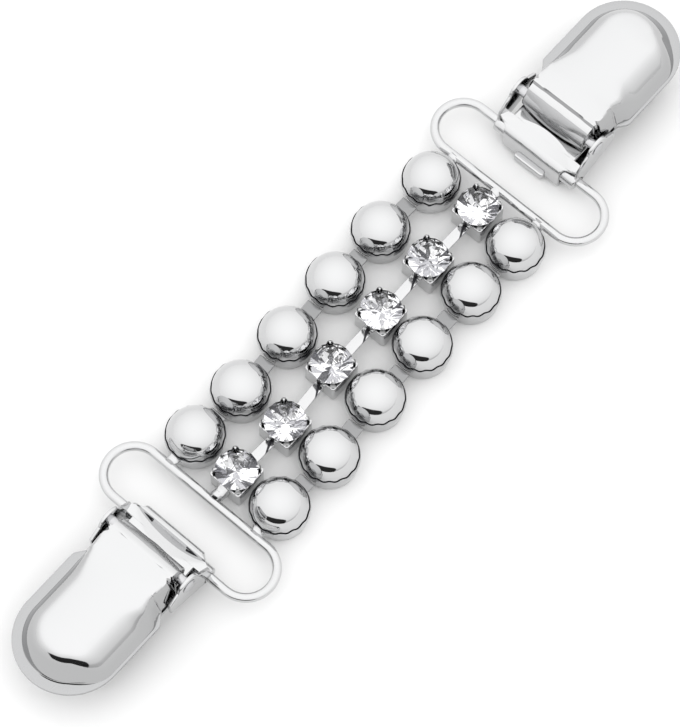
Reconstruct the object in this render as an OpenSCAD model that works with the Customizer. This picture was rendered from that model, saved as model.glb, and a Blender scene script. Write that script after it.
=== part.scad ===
// Sweater clip: a three-row jewelled panel between two wire loops, with a lever clip on each loop.
// X runs along the panel, Y across it, Z up. The part lies on z = 0, centred on the origin.

/* [Panel rows] */
// Spacing of the pieces along each row
pitch = 10; // [9.9:0.1:10.1]
// Distance from the middle line to the far row
far_row_y = 7.9; // [7.9:0.1:8.2]
// Distance from the middle line to the near row
near_row_y = 7.2; // [7.2:0.1:7.6]
// Place of the stone row across the panel
stone_row_y = 0.1; // [0:0.1:0.2]
// Width of a flat link strip between two cups of a dome row
cup_link_w = 2.5; // [1.5:0.1:2.6]
// Width of a flat link strip between two stone settings
setting_link_w = 1.5; // [1:0.1:2.4]

/* [Domes] */
// Outside radius of a cup at its widest
cup_r = 4.27; // [4:0.01:4.3]
// Outside radius of a cup on the table
cup_base_r = 3.86; // [3.7:0.02:4]
// Height of the widest place of a cup, where its wall starts to close over the cap
cup_belly_z = 2.96; // [2.8:0.02:3.1]
// Height of the rim of a cup
cup_rim_z = 4.32; // [4.1:0.02:4.5]
// Radius of the polished half-ball cap in the cup
dome_r = 4; // [3.9:0.01:4]

/* [Stones] */
// Radius of a stone at its girdle
stone_r = 3; // [2.8:0.05:3]
// Height of a girdle above the table
girdle_z = 4.37; // [4.2:0.01:4.6]
// Half the side of the square setting
setting_half = 2.5; // [2.4:0.05:2.6]

/* [Wire loops] */
// Radius of the loop wire
wire_r = 0.65; // [0.6:0.05:0.7]
// Height of the wire axis above the table
wire_z = 2.52; // [2.4:0.02:2.6]
// Distance from the centre to the bar that carries the panel
panel_bar_x = 29.9; // [29.8:0.1:30]
// Distance from the centre to the bar that carries the clip
clip_bar_x = 38; // [37.9:0.1:38.2]
// Length of a loop, over the wire
loop_length = 29.46; // [29:0.1:31]

/* [Clip body] */
// Distance from the centre to the tail of the clip body
tail_x = 36.3; // [36.2:0.05:36.4]
// Height of the tongue above the table
tongue_z = 5.4; // [5.2:0.05:5.4]
// Width of the tongue
tongue_w = 10.8; // [10:0.1:11.4]
// Width over the ears
ear_w = 14.4; // [14:0.1:14.4]
// Distance from the centre to the front of the lower jaw
jaw_x = 61.9; // [60:0.1:62]
// Thickness of the clip body's sheet
body_t = 0.5; // [0.4:0.05:0.6]

/* [Lever] */
// Distance from the centre to the hinge pin
pin_x = 41.75; // [41.7:0.05:41.8]
// Height of the hinge pin above the table
pin_z = 7.4; // [7.4:0.05:7.5]
// Radius of the hinge pin
pin_r = 0.75; // [0.6:0.05:0.8]
// Radius of the rolled knuckle round the pin
knuckle_r = 1.85; // [1.7:0.05:1.85]
// Distance from the centre to the straight hinge-end edge of the cover
cover_edge_x = 42.6; // [42.5:0.05:42.7]
// Distance from the centre to the tip of the cover
cover_nose_x = 64.4; // [64:0.1:65]
// Width of the cover over its brim
cover_w = 15.4; // [15:0.1:15.6]
// Width of the flat brim round the cover
brim_w = 1.4; // [1.2:0.1:1.6]
// Height of the underside of the brim above the table
brim_z = 5.4; // [5:0.1:5.6]
// Width of the cover's neck at the hinge
neck_w = 11.3; // [10.8:0.1:11.4]
// Height of the cover's top above the table
cover_top_z = 10.4; // [10.2:0.05:10.6]
// Thickness of the cover's sheet
cover_t = 0.6; // [0.5:0.05:0.7]

/* [Hidden] */
$fn = 96;
row_count = 6;
eps = 0.01;

// How far each piece has slipped from its even place, as [along, across] in mm
slip_far = [[0.5, -0.4], [-0.6, -0.6], [-0.6, -0.1], [-0.3, 0.3], [-0.5, 0.6], [-0.2, 0.3]];
slip_near = [[0.3, -0.5], [0.1, -0.7], [0.3, 0], [0.3, 0.3], [0.7, 0.5], [-0.3, 0.2]];
slip_stone = [[0.1, -0.4], [-0.5, -0.7], [-0.2, 0.1], [0.1, 0.2], [0.2, 0.4], [0.5, 0.3]];

function row_place(i, row_y, slip) =
    [(i - (row_count - 1) / 2) * pitch + slip[i][0], row_y + slip[i][1]];
far_places = [for (i = [0:row_count - 1]) row_place(i, far_row_y, slip_far)];
near_places = [for (i = [0:row_count - 1]) row_place(i, -near_row_y, slip_near)];
stone_places = [for (i = [0:row_count - 1]) row_place(i, stone_row_y, slip_stone)];

// Gap left between two neighbouring pieces that touch on the real clip
seat_gap = 0.1;

cup_t = 0.35;
crimp_t = 0.2;
dome_mid_z = cup_belly_z + 0.06;
dome_plug_r = cup_base_r - cup_t - seat_gap;
dome_plug_z = cup_t + seat_gap;

setting_t = 0.3;
setting_rim_z = 3.55;
prong_top_z = 5.1;
claw_in_r = 2.55;
claw_l = 0.85;
claw_w = 0.7;
claw_z = 4.9;
claw_t = 0.4;
prong_inner_r = stone_r + 0.05;
girdle_half_h = 0.08;
stone_table_r = 0.55 * stone_r;
stone_table_z = girdle_z + 1.02;
stone_culet_r = 0.25;
stone_culet_z = girdle_z - 2.3;
stone_sides = 16;
stone_table_sides = 8;

link_t = 0.4;
link_z = 2;
// Radius of a cup's wall at the top of a link strip
cup_link_r = cup_base_r + (cup_r - cup_base_r) * (link_z + link_t) / cup_belly_z;
// How far a link strip runs into the wall of the cup or setting that it is cut from
link_root = 0.2;

loop_end_r = (clip_bar_x - panel_bar_x) / 2;
loop_mid_x = (clip_bar_x + panel_bar_x) / 2;
loop_straight = loop_length / 2 - wire_r - loop_end_r;
solder_z = 2.2;
cup_solder_r = 0.6;
setting_solder_r = 0.75;

hinge_play = 0.06;
wire_bore_r = wire_r + hinge_play;
pin_bore_r = pin_r + hinge_play;
ear_bore_r = pin_r + 0.03;
barrel_r = 1.3;
fold_r = 1.2;
tail_w = 10.6;
tail_corner = 0.7;
notch_x = 39;
tongue_end_x = 43.6;
ear_t = 0.5;
ear_boss_r = 1.9;
ear_root_x = 37.4;
ear_tip_x = 45.4;
ear_tip_top_z = 6.6;
ear_tip_low_z = 4.2;
jaw_w = 10.8;
jaw_lip_z = 6;
jaw_lip_set = 0.1;
jaw_lip_angle = 150;
tab_w = 5.2;
tab_reach = 0.55;
tab_corner_r = 0.5;
pin_head_r = 1.1;
pin_head_t = 0.28;
pin_head_gap = 0.03;

nose_mid_x = cover_nose_x - cover_w / 2;
dome_half = cover_w / 2 - brim_w;
dome_foot_z = brim_z + cover_t;
dome_shoulder_in = 1.55;
dome_shoulder_z = cover_top_z - 1.2;
dome_crown_in = 2.5;
dome_crown_z = cover_top_z - 0.35;
shoulder_facing = [0.8, 0.6];
crown_facing = [0.4, 0.9];
brim_start_x = 46.4;
neck_slope_l = 1.6;
neck_low_z = 6.1;
neck_front_x = 48;
neck_flare_x = cover_edge_x + 1.2;
neck_flare_w = 12.4;
knuckle_w = 10.6;
hinge_edge_r = 1;

// Parts of the panel

module dome_body() {
    rotate_extrude()
        intersection() {
            circle(dome_r);
            square(dome_r);
        }
    translate([0, 0, dome_plug_z - dome_mid_z])
        cylinder(r = dome_plug_r, h = dome_mid_z - dome_plug_z + eps);
}

module dome(place) {
    color("silver")
        translate([place[0], place[1], dome_mid_z])
            dome_body();
}

module stone_ring(r, z, sides, turn) {
    translate([0, 0, z])
        rotate([0, 0, turn])
            linear_extrude(eps)
                circle(r, $fn = sides);
}

module stone(place) {
    half_step = 180 / stone_sides;
    color("whitesmoke")
        translate([place[0], place[1], 0])
            hull() {
                stone_ring(stone_table_r, stone_table_z - eps, stone_table_sides, 0);
                stone_ring(stone_r, girdle_z + girdle_half_h, stone_sides, half_step);
                stone_ring(stone_r, girdle_z - girdle_half_h, stone_sides, half_step);
                stone_ring(stone_culet_r, stone_culet_z, stone_table_sides, 0);
            }
}

// A flat strip from the piece at one place towards the piece at the next
module link_strip(from, to, from_reach, to_reach, width) {
    step = to - from;
    strip_l = norm(step) - from_reach - to_reach - seat_gap + link_root;
    translate([from[0], from[1], link_z])
        rotate([0, 0, atan2(step[1], step[0])])
            translate([from_reach - link_root, -width / 2, 0])
                cube([strip_l, width, link_t]);
}

// Half section of a cup: a flared wall up to its widest place and a round crimp above it
module cup_half_section() {
    difference() {
        union() {
            polygon([[0, 0], [cup_base_r, 0], [cup_r, cup_belly_z], [0, cup_belly_z]]);
            intersection() {
                translate([0, cup_belly_z])
                    circle(cup_r);
                translate([0, cup_belly_z - eps])
                    square([cup_r, cup_rim_z - cup_belly_z + eps]);
            }
        }
        polygon([
            [0, cup_t],
            [cup_base_r - cup_t, cup_t],
            [cup_r - cup_t, cup_belly_z],
            [0, cup_belly_z]
        ]);
        intersection() {
            translate([0, cup_belly_z])
                circle(cup_r - crimp_t);
            translate([0, cup_belly_z - eps])
                square(cup_r);
        }
    }
}

module cup_body(place) {
    translate([place[0], place[1], 0])
        rotate_extrude()
            cup_half_section();
}

module setting_body(place) {
    side = 2 * setting_half;
    inner = side - 2 * setting_t;
    translate([place[0], place[1], 0]) {
        difference() {
            translate([-setting_half, -setting_half, 0])
                cube([side, side, prong_top_z]);
            translate([-inner / 2, -inner / 2, setting_t])
                cube([inner, inner, setting_rim_z]);
            translate([0, 0, setting_rim_z])
                cylinder(r = prong_inner_r, h = prong_top_z);
        }
        for (turn = [45:90:315])
            rotate([0, 0, turn])
                translate([claw_in_r, -claw_w / 2, claw_z])
                    cube([claw_l, claw_w, claw_t]);
    }
}

module cup(places, i) {
    color("silver") {
        cup_body(places[i]);
        link_strip(places[i], places[i + 1], cup_link_r, cup_link_r, cup_link_w);
    }
}

module setting(i) {
    color("silver") {
        setting_body(stone_places[i]);
        link_strip(stone_places[i], stone_places[i + 1], setting_half, setting_half, setting_link_w);
    }
}

// Wire loops

module wire_bar(x) {
    translate([x, 0, wire_z])
        rotate([90, 0, 0])
            cylinder(r = wire_r, h = 2 * loop_straight, center = true);
}

module wire_end(side) {
    translate([loop_mid_x, side * loop_straight, wire_z])
        rotate([0, 0, side > 0 ? 0 : 180])
            rotate_extrude(angle = 180)
                translate([loop_end_r, 0])
                    circle(wire_r);
}

module wire_loop(end) {
    rotate([0, 0, end > 0 ? 0 : 180]) {
        wire_bar(panel_bar_x);
        wire_bar(clip_bar_x);
        wire_end(1);
        wire_end(-1);
    }
}

// The drop of solder between a piece and the bar of the loop
module solder(end, place, reach, r) {
    start = reach - link_root;
    translate([place[0] + end * start, place[1], solder_z])
        rotate([0, end * 90, 0])
            cylinder(r = r, h = panel_bar_x - abs(place[0]) - start);
}

// The end pieces of the three rows, soldered to the bar of their loop
module soldered_end(end, i) {
    for (place = [far_places[i], near_places[i]]) {
        cup_body(place);
        solder(end, place, cup_link_r, cup_solder_r);
    }
    setting_body(stone_places[i]);
    solder(end, stone_places[i], setting_half, setting_solder_r);
}

module loop_a() {
    color("silver") {
        wire_loop(-1);
        soldered_end(-1, 0);
        link_strip(far_places[0], far_places[1], cup_link_r, cup_link_r, cup_link_w);
        link_strip(near_places[0], near_places[1], cup_link_r, cup_link_r, cup_link_w);
        link_strip(stone_places[0], stone_places[1], setting_half, setting_half, setting_link_w);
    }
}

module loop_b() {
    color("silver") {
        wire_loop(1);
        soldered_end(1, row_count - 1);
    }
}

// Clip body

// Side outline of the folded sheet, in X and Z, shrunk by t
module fold_outline(t) {
    r = fold_r - t;
    low = t;
    high = tongue_z - t;
    back = tail_x + t;
    front = tongue_end_x + t;
    translate([back + r, low])
        square([front - back - r, high - low]);
    translate([back, low + r])
        square([front - back, high - low - 2 * r]);
    for (z = [low + r, high - r])
        translate([back + r, z])
            circle(r);
}

module along_y(width) {
    rotate([90, 0, 0])
        linear_extrude(width, center = true)
            children();
}

// Plan outline of the top leaf, from the tail to the end of the tongue
module leaf_plan() {
    half_tail = tail_w / 2;
    half_ear = ear_w / 2 - ear_t / 2;
    half_tongue = tongue_w / 2;
    side = [
        [tail_x, -eps],
        [tail_x, half_tail - tail_corner],
        [tail_x + tail_corner, half_tail],
        [ear_root_x + 0.6, half_ear],
        [notch_x, half_ear],
        [notch_x, half_tongue],
        [tongue_end_x, half_tongue],
        [tongue_end_x, -eps]
    ];
    polygon(side);
    mirror([0, 1])
        polygon(side);
}

module leaf() {
    intersection() {
        along_y(ear_w)
            difference() {
                fold_outline(0);
                fold_outline(body_t);
            }
        union() {
            translate([0, 0, tongue_z / 2])
                linear_extrude(tongue_z)
                    leaf_plan();
            translate([tail_x, -tail_w / 2 + tail_corner, 0])
                cube([tongue_end_x - tail_x, tail_w - 2 * tail_corner, tongue_z]);
        }
    }
}

module jaw() {
    mid_x = jaw_x - jaw_w / 2;
    back_x = tail_x + fold_r;
    linear_extrude(body_t) {
        translate([back_x, -jaw_w / 2])
            square([mid_x - back_x, jaw_w]);
        translate([mid_x, 0])
            circle(jaw_w / 2);
    }
    translate([mid_x, 0, 0])
        rotate([0, 0, -jaw_lip_angle / 2])
            rotate_extrude(angle = jaw_lip_angle)
                translate([jaw_w / 2 - body_t - jaw_lip_set, body_t / 2])
                    square([body_t, jaw_lip_z - body_t / 2]);
}

// Side outline of an ear, in X and Z
module ear_outline() {
    polygon([
        [ear_root_x, wire_z],
        [ear_root_x + 0.4, tongue_z],
        [pin_x - ear_boss_r, pin_z + 0.2],
        [pin_x, pin_z + ear_boss_r],
        [pin_x + ear_boss_r, pin_z + 0.4],
        [ear_tip_x, ear_tip_top_z],
        [ear_tip_x, ear_tip_low_z],
        [clip_bar_x + 1, wire_z - 0.6]
    ]);
    translate([pin_x, pin_z])
        circle(ear_boss_r);
}

module ears() {
    for (side = [-1, 1])
        translate([0, side * (ear_w - ear_t) / 2, 0])
            along_y(ear_t)
                ear_outline();
}

module y_rod(x, z, r, width) {
    translate([x, 0, z])
        rotate([90, 0, 0])
            cylinder(r = r, h = width, center = true);
}

module tab() {
    half = tab_w / 2 - tab_corner_r;
    linear_extrude(body_t) {
        translate([tail_x - tab_reach, -half])
            square([tab_reach + fold_r + eps, 2 * half]);
        translate([tail_x - tab_reach + tab_corner_r, -tab_w / 2])
            square([tab_reach + fold_r - tab_corner_r + eps, tab_w]);
        for (y = [-half, half])
            translate([tail_x - tab_reach + tab_corner_r, y])
                circle(tab_corner_r);
    }
}

module clip_base() {
    difference() {
        union() {
            leaf();
            jaw();
            ears();
            tab();
            y_rod(clip_bar_x, wire_z, barrel_r, ear_w);
        }
        y_rod(clip_bar_x, wire_z, wire_bore_r, ear_w + 1);
        y_rod(pin_x, pin_z, ear_bore_r, ear_w + 1);
    }
}

// Lever cover

// Half of the crown's cross-section, in Y and Z, shrunk by t
module crown_half_section(t) {
    foot = dome_half - t;
    low = t > 0 ? brim_z - 1 : brim_z;
    polygon([
        [0, low],
        [foot, low],
        [foot, dome_foot_z],
        [dome_half - dome_shoulder_in, dome_shoulder_z] - t * shoulder_facing,
        [dome_half - dome_crown_in, dome_crown_z] - t * crown_facing,
        [0, cover_top_z - t]
    ]);
}

// The crown of the cover, shrunk by t: straight sides and a round nose
module crown(t) {
    start = brim_start_x + t;
    translate([start, 0, 0])
        rotate([90, 0, 90])
            linear_extrude(nose_mid_x - start) {
                crown_half_section(t);
                mirror([1, 0])
                    crown_half_section(t);
            }
    translate([nose_mid_x, 0, 0])
        rotate_extrude()
            crown_half_section(t);
}

module brim() {
    half = cover_w / 2;
    translate([0, 0, brim_z])
        linear_extrude(cover_t) {
            polygon([
                [brim_start_x, -neck_flare_w / 2],
                [brim_start_x + neck_slope_l, -half],
                [nose_mid_x, -half],
                [nose_mid_x, half],
                [brim_start_x + neck_slope_l, half],
                [brim_start_x, neck_flare_w / 2]
            ]);
            translate([nose_mid_x, 0])
                circle(half);
        }
}

// The flat-topped neck, shrunk by t: it widens from the hinge to the crown
module neck(t) {
    edge_half = neck_w / 2 - t;
    half = neck_flare_w / 2 - t;
    low = t > 0 ? neck_low_z - 1 : neck_low_z;
    translate([0, 0, low])
        linear_extrude(cover_top_z - t - low)
            polygon([
                [cover_edge_x + t, -edge_half],
                [neck_flare_x, -half],
                [neck_front_x - t, -half],
                [neck_front_x - t, half],
                [neck_flare_x, half],
                [cover_edge_x + t, edge_half]
            ]);
}

// The material outside the rounded bend at the hinge-end edge
module hinge_edge_waste() {
    z = cover_top_z - hinge_edge_r;
    difference() {
        translate([cover_edge_x - 1, -cover_w / 2, z])
            cube([1 + hinge_edge_r, cover_w, hinge_edge_r + 1]);
        y_rod(cover_edge_x + hinge_edge_r, z, hinge_edge_r, cover_w + 1);
    }
}

module clip_lever() {
    difference() {
        union() {
            difference() {
                union() {
                    crown(0);
                    brim();
                    neck(0);
                }
                crown(cover_t);
                neck(cover_t);
                hinge_edge_waste();
            }
            y_rod(pin_x, pin_z, knuckle_r, knuckle_w);
        }
        y_rod(pin_x, pin_z, pin_bore_r, cover_w);
    }
}

module clip_pin() {
    y_rod(pin_x, pin_z, pin_r, ear_w + 2 * pin_head_gap + eps);
    for (side = [-1, 1])
        translate([0, side * (ear_w / 2 + pin_head_gap + pin_head_t / 2), 0])
            y_rod(pin_x, pin_z, pin_head_r, pin_head_t);
}

// The two clips are the same part, turned to face away from the panel
module at_end(end) {
    rotate([0, 0, end > 0 ? 0 : 180])
        children();
}

module base_a() {
    color("silver") at_end(-1) clip_base();
}

module base_b() {
    color("silver") at_end(1) clip_base();
}

module lever_a() {
    color("gainsboro") at_end(-1) clip_lever();
}

module lever_b() {
    color("gainsboro") at_end(1) clip_lever();
}

module pin_a() {
    color("darkgray") at_end(-1) clip_pin();
}

module pin_b() {
    color("darkgray") at_end(1) clip_pin();
}

loop_a();
loop_b();
base_a();
base_b();
lever_a();
lever_b();
pin_a();
pin_b();
for (i = [0:row_count - 1]) {
    dome(near_places[i]);
    dome(far_places[i]);
    stone(stone_places[i]);
}
for (i = [1:row_count - 2]) {
    cup(near_places, i);
    cup(far_places, i);
    setting(i);
}
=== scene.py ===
"""Looks of the sweater clip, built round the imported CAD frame.

Shapes are worked out in millimetres; piece() turns them into metres. Clip pieces are drawn as
they lie at the +X end, and turned half round for the clip at the other end.
"""
import random
from math import atan2, ceil, cos, degrees, hypot, pi, radians, sin, sqrt, tan
import bpy
import bmesh
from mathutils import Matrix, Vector, noise


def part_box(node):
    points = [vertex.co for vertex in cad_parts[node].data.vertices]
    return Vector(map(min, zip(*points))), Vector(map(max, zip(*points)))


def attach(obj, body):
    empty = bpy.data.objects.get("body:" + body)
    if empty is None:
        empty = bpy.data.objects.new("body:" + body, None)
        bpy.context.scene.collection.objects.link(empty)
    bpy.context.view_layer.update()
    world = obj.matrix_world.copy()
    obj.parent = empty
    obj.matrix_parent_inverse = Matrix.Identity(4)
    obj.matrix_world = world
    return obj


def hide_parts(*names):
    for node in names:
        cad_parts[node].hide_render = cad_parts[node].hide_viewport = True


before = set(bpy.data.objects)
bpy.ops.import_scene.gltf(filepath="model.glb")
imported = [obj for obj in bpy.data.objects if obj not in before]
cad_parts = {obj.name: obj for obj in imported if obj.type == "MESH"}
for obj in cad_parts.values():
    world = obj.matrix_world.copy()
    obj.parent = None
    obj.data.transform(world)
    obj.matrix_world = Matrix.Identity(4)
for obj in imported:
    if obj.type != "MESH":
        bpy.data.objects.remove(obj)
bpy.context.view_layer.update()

MM = 0.001
MERGE_DISTANCE = 0.002 * MM
SLIVER = 0.001 * MM
SHARPEST_TURN = 0.3
# The places of a row, and those between its two end pieces
ROW = range(1, 7)
MIDDLE = range(2, 6)


def node_box(node):
    """Lowest and highest corner of a CAD node, in millimetres."""
    low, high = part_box(node)
    return low / MM, high / MM


def middle(node):
    """The middle of a CAD node's box, in millimetres."""
    low, high = node_box(node)
    return (low + high) / 2


# Mesh helpers

class Shape:
    """The points and faces of one piece, in millimetres."""

    def __init__(self):
        self.points = []
        self.faces = []
        self.looks = []

    def add(self, points, faces, look=0):
        """look is the place of the faces' material in the list that the piece gets."""
        start = len(self.points)
        self.points += [tuple(p) for p in points]
        self.faces += [tuple(start + i for i in face) for face in faces]
        self.looks += [look] * len(faces)

    def grid(self, rows, wrap=False, loop=False, look=0):
        """Rows of points. wrap joins the ends of each row, loop joins the last row to the first."""
        n, m = len(rows[0]), len(rows)
        faces = []
        for r in range(m if loop else m - 1):
            for c in range(n if wrap else n - 1):
                above = (r + 1) % m * n
                right = (c + 1) % n
                faces.append((r * n + c, r * n + right, above + right, above + c))
        self.add([p for row in rows for p in row], faces, look)

    def cap(self, row, look=0):
        """One face over a closed row of points."""
        self.add(row, [tuple(range(len(row)))], look)

    def lathe(self, profile, place, steps=64, turn=(0, 360), look=0):
        """profile holds (radius, height) pairs; place turns (x, y, height) into a point."""
        full = turn[1] - turn[0] >= 360
        rows = []
        for k in range(steps if full else steps + 1):
            a = radians(turn[0] + (turn[1] - turn[0]) * k / steps)
            rows.append([place(r * cos(a), r * sin(a), h) for r, h in profile])
        self.grid(rows, wrap=True, loop=full, look=look)
        if not full:
            self.cap(rows[0], look)
            self.cap(rows[-1], look)

    def plate(self, outline, low, high, place, edge=0.08, look=0):
        """A sheet with the given outline, its edges rounded. place turns (u, v, height) into a point."""
        steps = 4
        profile = []
        for k in range(steps + 1):
            a = pi / 2 * k / steps
            profile.append((edge * (1 - sin(a)), low + edge * (1 - cos(a))))
        profile += [(d, high + low - z) for d, z in reversed(profile)]
        rows = [[place(u, v, z) for u, v in inset(outline, d)] for d, z in profile]
        self.grid(rows, wrap=True, look=look)
        self.cap(rows[0], look)
        self.cap(rows[-1], look)


def inset(outline, distance):
    """The closed outline, drawn counter-clockwise, moved inwards."""
    if not distance:
        return [tuple(p) for p in outline]
    moved = []
    n = len(outline)
    for i in range(n):
        x, y = outline[i]
        ax, ay = x - outline[i - 1][0], y - outline[i - 1][1]
        bx, by = outline[(i + 1) % n][0] - x, outline[(i + 1) % n][1] - y
        la, lb = hypot(ax, ay), hypot(bx, by)
        n1 = (-ay / la, ax / la)
        n2 = (-by / lb, bx / lb)
        share = distance / max(SHARPEST_TURN, 1 + n1[0] * n2[0] + n1[1] * n2[1])
        moved.append((x + share * (n1[0] + n2[0]), y + share * (n1[1] + n2[1])))
    return moved


def rounded(corners, radii, steps=6):
    """A closed outline with its corners rounded."""
    outline = []
    n = len(corners)
    for i in range(n):
        radius = radii[i] if isinstance(radii, (list, tuple)) else radii
        p = Vector(corners[i])
        if not radius:
            outline.append(tuple(p))
            continue
        a = (Vector(corners[i - 1]) - p).normalized()
        b = (Vector(corners[(i + 1) % n]) - p).normalized()
        half = a.angle(b) / 2
        centre = p + (a + b).normalized() * (radius / sin(half))
        start = p + a * (radius / tan(half)) - centre
        end = p + b * (radius / tan(half)) - centre
        sweep = atan2(start.x * end.y - start.y * end.x, start.dot(end))
        for k in range(steps + 1):
            t = sweep * k / steps
            outline.append((centre.x + start.x * cos(t) - start.y * sin(t),
                            centre.y + start.x * sin(t) + start.y * cos(t)))
    return outline


def finer(outline, longest):
    """The closed outline with its long sides divided."""
    made = []
    n = len(outline)
    for i in range(n):
        x, y = outline[i]
        u, v = outline[(i + 1) % n]
        parts = max(1, ceil(hypot(u - x, v - y) / longest))
        made += [(x + (u - x) * k / parts, y + (v - y) * k / parts) for k in range(parts)]
    return made


def standing(x, y):
    """Places a shape's axis upright at x, y."""
    return lambda u, v, h: (x + u, y + v, h)


def along_y(x, z):
    """Places a shape's axis along Y through x, z."""
    return lambda u, v, h: (x + u, h, z + v)


def side_view(u, v, h):
    """An outline drawn in X and Z, its thickness along Y."""
    return (u, h, v)


def flat(u, v, h):
    """An outline drawn in X and Y, its thickness upwards."""
    return (u, v, h)


# Number helpers

def wobble(point, scale, depth, seed=0.0):
    """A small smooth unevenness."""
    x, y, z = point
    return depth * noise.noise(Vector((x / scale + seed, y / scale - seed, z / scale)))


def soft_min(a, b, reach):
    """The smaller of two heights, the change from one to the other rounded."""
    h = min(1.0, max(0.0, 0.5 + 0.5 * (b - a) / reach))
    return b + (a - b) * h - reach * h * (1 - h)


def mix(a, b, t):
    """The value that lies the share t of the way from a to b."""
    return a + (b - a) * t


def smooth_step(t):
    """0 below 0, 1 above 1 and an even change between."""
    t = min(1.0, max(0.0, t))
    return t * t * (3 - 2 * t)


# Pieces

def piece(name, shape, materials, body, nodes, end=1, sharp=38):
    """Makes the object of one piece, and says what it rides on and what it stands for."""
    data = bpy.data.meshes.new(name)
    data.from_pydata([(end * x * MM, end * y * MM, z * MM) for x, y, z in shape.points], [],
                     shape.faces)
    for material in materials:
        data.materials.append(material)
    data.polygons.foreach_set("material_index", shape.looks)
    mesh = bmesh.new()
    mesh.from_mesh(data)
    bmesh.ops.remove_doubles(mesh, verts=mesh.verts, dist=MERGE_DISTANCE)
    bmesh.ops.dissolve_degenerate(mesh, edges=mesh.edges, dist=SLIVER)
    bmesh.ops.recalc_face_normals(mesh, faces=mesh.faces)
    mesh.to_mesh(data)
    mesh.free()
    data.shade_smooth()
    data.set_sharp_from_angle(angle=radians(sharp))
    obj = bpy.data.objects.new(name, data)
    bpy.context.scene.collection.objects.link(obj)
    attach(obj, body)
    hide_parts(*nodes)
    return obj


# Materials

def new_material(name):
    """A new material, its nodes and its links."""
    material = bpy.data.materials.new(name)
    material.use_nodes = True
    return material, material.node_tree.nodes, material.node_tree.links


SPOTS_PER_METRE = 180
# Upward share of the surface's direction between which the painted shade on upright sides fades from full to
# none
SHADE_FULL_BELOW, SHADE_NONE_ABOVE = 0.55, 0.9


def metal(name, colour, rough, rough_spread, bump, bump_size, steep_shade=1.0):
    """Plated metal: its roughness varies a little and its surface is slightly uneven, by bump mm
    over bump_size mm. The last argument is the brightness of its upright sides, which are painted darker as
    shade."""
    material, nodes, links = new_material(name)
    shader = nodes["Principled BSDF"]
    shader.inputs["Base Color"].default_value = (*colour, 1)
    shader.inputs["Metallic"].default_value = 1
    place = nodes.new("ShaderNodeTexCoord")
    spots = nodes.new("ShaderNodeTexNoise")
    spots.inputs["Scale"].default_value = SPOTS_PER_METRE
    spots.inputs["Detail"].default_value = 3
    links.new(place.outputs["Object"], spots.inputs["Vector"])
    spread = nodes.new("ShaderNodeMapRange")
    spread.inputs["From Min"].default_value = 0.3
    spread.inputs["From Max"].default_value = 0.7
    spread.inputs["To Min"].default_value = rough
    spread.inputs["To Max"].default_value = rough + rough_spread
    links.new(spots.outputs["Fac"], spread.inputs["Value"])
    links.new(spread.outputs["Result"], shader.inputs["Roughness"])
    waves = nodes.new("ShaderNodeTexNoise")
    waves.inputs["Scale"].default_value = 1000 / bump_size
    waves.inputs["Detail"].default_value = 1
    links.new(place.outputs["Object"], waves.inputs["Vector"])
    relief = nodes.new("ShaderNodeBump")
    relief.inputs["Strength"].default_value = 1
    relief.inputs["Distance"].default_value = bump * MM
    links.new(waves.outputs["Fac"], relief.inputs["Height"])
    links.new(relief.outputs["Normal"], shader.inputs["Normal"])
    # Painted shade: the upright sides get a darker base colour, the steeper the darker
    if steep_shade < 1:
        facing = nodes.new("ShaderNodeSeparateXYZ")
        links.new(place.outputs["Normal"], facing.inputs["Vector"])
        ramp = nodes.new("ShaderNodeValToRGB")
        ramp.color_ramp.elements[0].position = SHADE_FULL_BELOW
        ramp.color_ramp.elements[0].color = (*(steep_shade * c for c in colour), 1)
        ramp.color_ramp.elements[1].position = SHADE_NONE_ABOVE
        ramp.color_ramp.elements[1].color = (*colour, 1)
        links.new(facing.outputs["Z"], ramp.inputs["Fac"])
        links.new(ramp.outputs["Color"], shader.inputs["Base Color"])
    return material


def clear_glass(name):
    """Clear lead glass."""
    material, nodes = new_material(name)[:2]
    shader = nodes["Principled BSDF"]
    shader.inputs["Base Color"].default_value = (1, 1, 1, 1)
    shader.inputs["Roughness"].default_value = 0.0
    shader.inputs["IOR"].default_value = 1.62
    shader.inputs["Transmission Weight"].default_value = 1
    return material


SILVER = (0.58, 0.582, 0.586)
polish = metal("polished_cap_metal", SILVER, 0.03, 0.03, 0.004, 2.5)
# Painted shade: the cups' upright sides are drawn at 0.85 of the colour
cup_metal = metal("cup_metal", SILVER, 0.09, 0.06, 0.006, 1.2, steep_shade=0.85)
setting_metal = metal("setting_metal", SILVER, 0.08, 0.06, 0.006, 0.9)
wire_metal = metal("wire_metal", SILVER, 0.07, 0.06, 0.006, 1.6)
body_metal = metal("clip_body_metal", SILVER, 0.08, 0.06, 0.01, 2.6)
# Painted shade: the cover's upright sides are drawn at 0.72 of the colour
cover_metal = metal("cover_metal", SILVER, 0.04, 0.04, 0.012, 5.0, steep_shade=0.72)
# Darker base colour: painted shade of the strips that lie between the domes
link_shade_metal = metal("link_shade_metal", (0.27, 0.272, 0.275), 0.12, 0.1, 0.01, 1.5)
# Darker base colour is painted shade, for the cover's brim and the knuckle away from the light; the
# roughness is a satin finish
shaded_satin_metal = metal("satin_shaded_brim", (0.40, 0.402, 0.406), 0.22, 0.08, 0.008, 1.5)
pin_metal = metal("pin_metal", (0.52, 0.52, 0.53), 0.12, 0.08, 0.005, 1.0)
# Near-black painted shade: insides of cups and settings, the slits with the strip corners by them, and the
# clip body's slots
painted_shade_metal = metal("painted_shade_metal", (0.05, 0.05, 0.055), 0.35, 0.15, 0.01, 1.0)
glass = clear_glass("clear_stone_glass")
foil = metal("stone_foil_bright", (0.92, 0.92, 0.93), 0.02, 0.02, 0.001, 1.0)
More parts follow.
